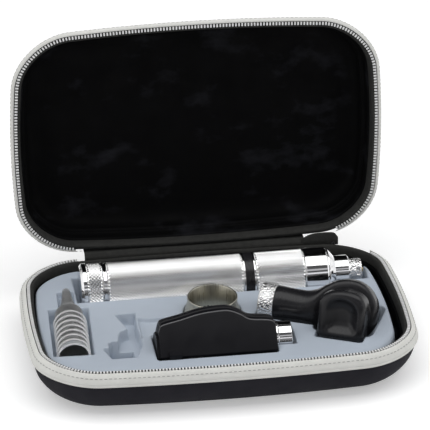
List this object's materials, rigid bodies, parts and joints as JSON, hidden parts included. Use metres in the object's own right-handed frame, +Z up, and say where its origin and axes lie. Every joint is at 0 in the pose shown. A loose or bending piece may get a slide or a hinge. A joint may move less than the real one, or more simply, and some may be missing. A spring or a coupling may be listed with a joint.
{
  "type": "otoscope carry case",
  "caption": "Hinged zip-round hard case that stands open, with a fitted tray holding a battery handle, otoscope and ophthalmoscope heads, adapter ring and nested ear specula.",
  "frame": {"origin": "middle of the flat underside of the case base", "axes": "+X to the right along the hinge seen from the front, +Y from the front edge to the hinge, +Z up"},
  "size_m": [0.2184, 0.176, 0.1699],
  "materials": {
    "shell": "fine grained moulded shell",
    "lining": "black velour nap",
    "tray": "blue-grey moulded tray, short soft flock",
    "tape": "woven light grey zip tape",
    "teeth": "satin moulded zip teeth",
    "hinge_cloth": "black woven cloth",
    "zip_metal": "dark plated zip hardware",
    "knurled_chrome": "satin chrome with a fine diamond knurl",
    "polished_chrome": "bright polished chrome",
    "black_plastic": "smooth black",
    "black_matte": "satin black",
    "cell_wrap": "plain dark battery sleeve",
    "spring_steel": "bright spring wire",
    "button": "glossy green button",
    "contact_brass": "plain brass",
    "clear_lens": "clear lens",
    "lamp_glass": "small lamp",
    "ring_metal": "brushed satin, ridged outside",
    "speculum_white": "translucent white"
  },
  "bodies": {
    "base": {"base_shell": "shell", "base_lining": "lining", "instrument_tray": "tray", "base_zip_tape": "tape", "base_zip_teeth": "teeth", "base_hinge_strip": "hinge_cloth", "zip_slider": "zip_metal", "zip_end_stop": "zip_metal"},
    "zip_pull": {"zip_pull": "zip_metal"},
    "lid": {"lid_shell": "shell", "lid_lining": "lining", "lid_zip_tape": "tape", "lid_zip_teeth": "teeth", "lid_hinge_strip": "hinge_cloth"},
    "handle": {"battery_tube": "knurled_chrome", "groove_ring": "polished_chrome", "battery": "cell_wrap", "battery_spring": "spring_steel", "insulator_ring": "black_plastic", "top_collar": "polished_chrome", "bayonet_neck": "polished_chrome"},
    "end_cap": {"end_cap": "knurled_chrome", "end_cap_rim": "polished_chrome"},
    "brightness_sleeve": {"brightness_sleeve": "knurled_chrome"},
    "lock_button": {"lock_button": "button"},
    "contact_pin": {"contact_pin": "contact_brass"},
    "otoscope": {"oto_socket_ring": "polished_chrome", "oto_neck": "black_matte", "oto_barrel": "black_plastic", "oto_eyepiece": "black_plastic", "oto_window": "clear_lens", "oto_nose_cone": "black_plastic", "oto_air_port": "polished_chrome", "oto_lamp": "lamp_glass"},
    "focus_ring": {"oto_focus_ring": "black_matte"},
    "ophthalmoscope": {"oph_housing": "black_plastic", "oph_cover": "black_plastic", "oph_window": "clear_lens", "oph_brow_rest": "black_matte", "oph_post": "polished_chrome", "oph_lamp": "lamp_glass"},
    "lens_wheel": {"oph_lens_wheel": "black_matte"},
    "aperture_dial": {"oph_aperture_dial": "black_matte"},
    "filter_lever": {"oph_filter_lever": "black_plastic"},
    "adapter_ring": {"adapter_ring": "ring_metal"},
    "specula": {"speculum_1": "speculum_white", "speculum_2": "speculum_white", "speculum_3": "speculum_white", "speculum_4": "speculum_white", "speculum_5": "speculum_white", "speculum_6": "speculum_white", "speculum_7": "speculum_white", "speculum_8": "speculum_white"}
  },
  "joints": [
    {"name": "zip_pull_swing", "type": "hinge", "parent": "base", "child": "zip_pull", "pos_m": [0.07245, 0.07183, 0.0244], "axis": [-1, 0, 0], "range_deg": [-88, 0]},
    {"name": "lid_hinge", "type": "hinge", "parent": "base", "child": "lid", "pos_m": [0, 0.069, 0.02815], "axis": [-1, 0, 0], "range_deg": [-92.7, 27.3]},
    {"name": "handle_lift", "type": "slide", "parent": "base", "child": "handle", "axis": [0, 0, 1], "range_m": [0, 0.06]},
    {"name": "end_cap_turn", "type": "hinge", "parent": "handle", "child": "end_cap", "pos_m": [-0.065, 0.0347, 0.025], "axis": [1, 0, 0], "continuous": true},
    {"name": "brightness_turn", "type": "hinge", "parent": "handle", "child": "brightness_sleeve", "pos_m": [0.042, 0.0347, 0.025], "axis": [1, 0, 0], "range_deg": [0, 75]},
    {"name": "lock_button_press", "type": "slide", "parent": "brightness_sleeve", "child": "lock_button", "axis": [0, -0.866, -0.5], "range_m": [0, 0.0006], "stiffness_N_per_m": 400},
    {"name": "contact_pin_press", "type": "slide", "parent": "handle", "child": "contact_pin", "axis": [-1, 0, 0], "range_m": [0, 0.0012], "stiffness_N_per_m": 400},
    {"name": "otoscope_lift", "type": "slide", "parent": "base", "child": "otoscope", "axis": [0, 0, 1], "range_m": [0, 0.06]},
    {"name": "focus_turn", "type": "hinge", "parent": "otoscope", "child": "focus_ring", "pos_m": [0.06899, -0.02664, 0.03258], "axis": [-0.4082, -0.8754, 0.2588], "range_deg": [-60, 60]},
    {"name": "ophthalmoscope_lift", "type": "slide", "parent": "base", "child": "ophthalmoscope", "axis": [0, 0, 1], "range_m": [0, 0.06]},
    {"name": "lens_wheel_turn", "type": "hinge", "parent": "ophthalmoscope", "child": "lens_wheel", "pos_m": [-0.008, -0.02924, 0.03047], "axis": [0, -0.766, 0.6428], "continuous": true},
    {"name": "aperture_turn", "type": "hinge", "parent": "ophthalmoscope", "child": "aperture_dial", "pos_m": [-0.0186, -0.04705, 0.0248], "axis": [0, -0.766, 0.6428], "range_deg": [-150, 150]},
    {"name": "filter_slide", "type": "slide", "parent": "ophthalmoscope", "child": "filter_lever", "axis": [1, 0, 0], "range_m": [-0.002, 0.002]},
    {"name": "ring_lift", "type": "slide", "parent": "base", "child": "adapter_ring", "axis": [0, 0, 1], "range_m": [0, 0.06]},
    {"name": "specula_lift", "type": "slide", "parent": "base", "child": "specula", "axis": [0, 0, 1], "range_m": [0, 0.06]}
  ]
}
